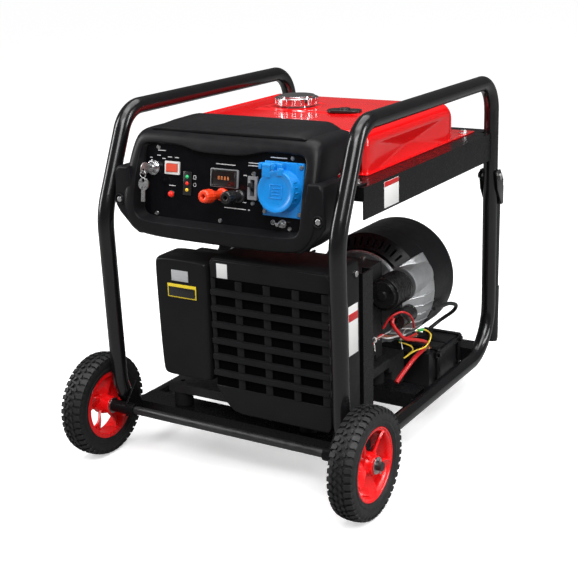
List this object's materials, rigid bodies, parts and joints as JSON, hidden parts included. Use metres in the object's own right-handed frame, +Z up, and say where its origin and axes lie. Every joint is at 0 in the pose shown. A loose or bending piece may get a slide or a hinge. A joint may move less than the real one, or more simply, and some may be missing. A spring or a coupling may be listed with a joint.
{
  "type": "engine driven welder",
  "caption": "Open-frame engine driven welder on two wheels, with red fuel tank, tilted control panel, weld output terminals, louvred front cover and fold-out handles.",
  "frame": {"origin": "on the floor, under the middle of the overall bounding box", "axes": "-Y towards the control panel, +X to the right for someone facing the panel, +Z up; the length runs along Y"},
  "size_m": [0.636, 0.8, 0.676],
  "materials": {
    "black_tube": "satin",
    "black_sheet": "satin",
    "red_paint": "gloss",
    "red_plastic": "gloss",
    "rubber": "matt",
    "tyre": "matt",
    "chrome": "polished",
    "zinc": "plated",
    "dark_steel": "dark",
    "black_plastic": "matt",
    "panel_black": "gloss",
    "blue_plastic": "gloss",
    "white_plastic": "gloss",
    "grey_plastic": "matt",
    "terminal_red": "gloss",
    "terminal_black": "gloss",
    "cast_aluminium": "cast",
    "cast_iron": "machined",
    "heat_steel": "heat stained",
    "white_ceramic": "gloss",
    "battery_black": "matt",
    "cable_red": "gloss",
    "cable_mix": "satin"
  },
  "bodies": {
    "frame": {"left_hoop": "black_tube", "right_hoop": "black_tube", "cross_beams": "black_sheet", "rear_feet": "rubber", "engine_mounts": "rubber", "axle_sleeves": "black_sheet", "axle": "dark_steel", "axle_fasteners": "zinc", "tank_cradle": "black_sheet", "fuel_tank": "red_paint", "fuel_gauge": "black_plastic", "frame_bolts": "zinc", "fascia": "black_plastic", "control_panel": "panel_black", "panel_screws": "zinc", "digital_meter": "grey_plastic", "key_switch": "zinc", "rocker_frame": "white_plastic", "indicator_lamps": "black_plastic", "breaker_body": "grey_plastic", "socket_base": "blue_plastic", "red_terminal": "terminal_red", "black_terminal": "terminal_black", "ground_stud": "zinc", "front_cover": "black_sheet", "air_cleaner_base": "black_plastic", "air_cleaner_cover": "black_plastic", "carburettor": "cast_aluminium", "crankcase": "cast_aluminium", "cylinder_head": "cast_aluminium", "valve_cover": "black_plastic", "spark_plug": "white_ceramic", "stator": "cast_iron", "bell_housing": "cast_aluminium", "fan_cowl": "black_sheet", "drum_cover": "black_plastic", "starter_motor": "black_plastic", "starter_solenoid": "black_plastic", "muffler": "heat_steel", "muffler_shield": "black_sheet", "battery": "battery_black", "battery_tray": "black_sheet", "battery_cables": "cable_red", "wiring_harness": "cable_mix"},
    "left_wheel": {"left_rim": "red_plastic", "left_tyre": "tyre"},
    "right_wheel": {"right_rim": "red_plastic", "right_tyre": "tyre"},
    "left_handle_arm": {"left_handle": "black_tube"},
    "right_handle_arm": {"right_handle": "black_tube"},
    "cap": {"fuel_cap": "chrome"},
    "key": {"ignition_key": "zinc"},
    "keyring": {"key_ring": "zinc"},
    "rocker": {"start_rocker": "terminal_red"},
    "breaker": {"breaker_toggle": "black_plastic"},
    "lid": {"socket_lid": "blue_plastic"},
    "choke": {"choke_lever": "zinc"},
    "crank": {"crankshaft": "dark_steel", "flywheel": "cast_iron", "rotor": "cast_iron"}
  },
  "joints": [
    {"name": "left_wheel_spin", "type": "hinge", "parent": "frame", "child": "left_wheel", "pos_m": [-0.285, -0.3, 0.1], "axis": [1, 0, 0], "continuous": true},
    {"name": "right_wheel_spin", "type": "hinge", "parent": "frame", "child": "right_wheel", "pos_m": [0.285, -0.3, 0.1], "axis": [1, 0, 0], "continuous": true},
    {"name": "left_handle_fold", "type": "hinge", "parent": "frame", "child": "left_handle_arm", "pos_m": [-0.24, 0.353, 0.464], "axis": [1, 0, 0], "range_deg": [0, 90]},
    {"name": "right_handle_fold", "type": "hinge", "parent": "frame", "child": "right_handle_arm", "pos_m": [0.24, 0.353, 0.464], "axis": [1, 0, 0], "range_deg": [0, 90]},
    {"name": "fuel_cap_turn", "type": "hinge", "parent": "frame", "child": "cap", "pos_m": [-0.06, 0.082, 0.64], "axis": [0, 0, 1], "range_deg": [0, 90]},
    {"name": "key_turn", "type": "hinge", "parent": "frame", "child": "key", "pos_m": [-0.146, -0.27158, 0.5678], "axis": [0, -0.9903, 0.1392], "range_deg": [-40, 0]},
    {"name": "key_ring_hang", "type": "hinge", "parent": "key", "child": "keyring", "pos_m": [-0.146, -0.30495, 0.56744], "axis": [0, -0.9903, 0.1392], "range_deg": [0, 40]},
    {"name": "start_rocker_tilt", "type": "hinge", "parent": "frame", "child": "rocker", "pos_m": [-0.106, -0.27328, 0.57005], "axis": [0, 0.1392, 0.9903], "range_deg": [-16, 0]},
    {"name": "breaker_switch", "type": "hinge", "parent": "frame", "child": "breaker", "pos_m": [0.063, -0.26828, 0.54815], "axis": [1, 0, 0], "range_deg": [0, 36]},
    {"name": "socket_lid_open", "type": "hinge", "parent": "frame", "child": "lid", "pos_m": [0.125, -0.29511, 0.59433], "axis": [1, 0, 0], "range_deg": [-100, 0], "stiffness_Nm_per_rad": 0.02, "springref_deg": 28.65},
    {"name": "choke_swing", "type": "hinge", "parent": "frame", "child": "choke", "pos_m": [-0.09, -0.15, 0.296], "axis": [1, 0, 0], "range_deg": [0, 60]},
    {"name": "crank_spin", "type": "hinge", "parent": "frame", "child": "crank", "pos_m": [0.09, 0, 0.268], "axis": [0, 1, 0], "continuous": true}
  ],
  "couplings": [
    {"joint": "key_ring_hang", "follows": "key_turn", "ratio": -1}
  ]
}
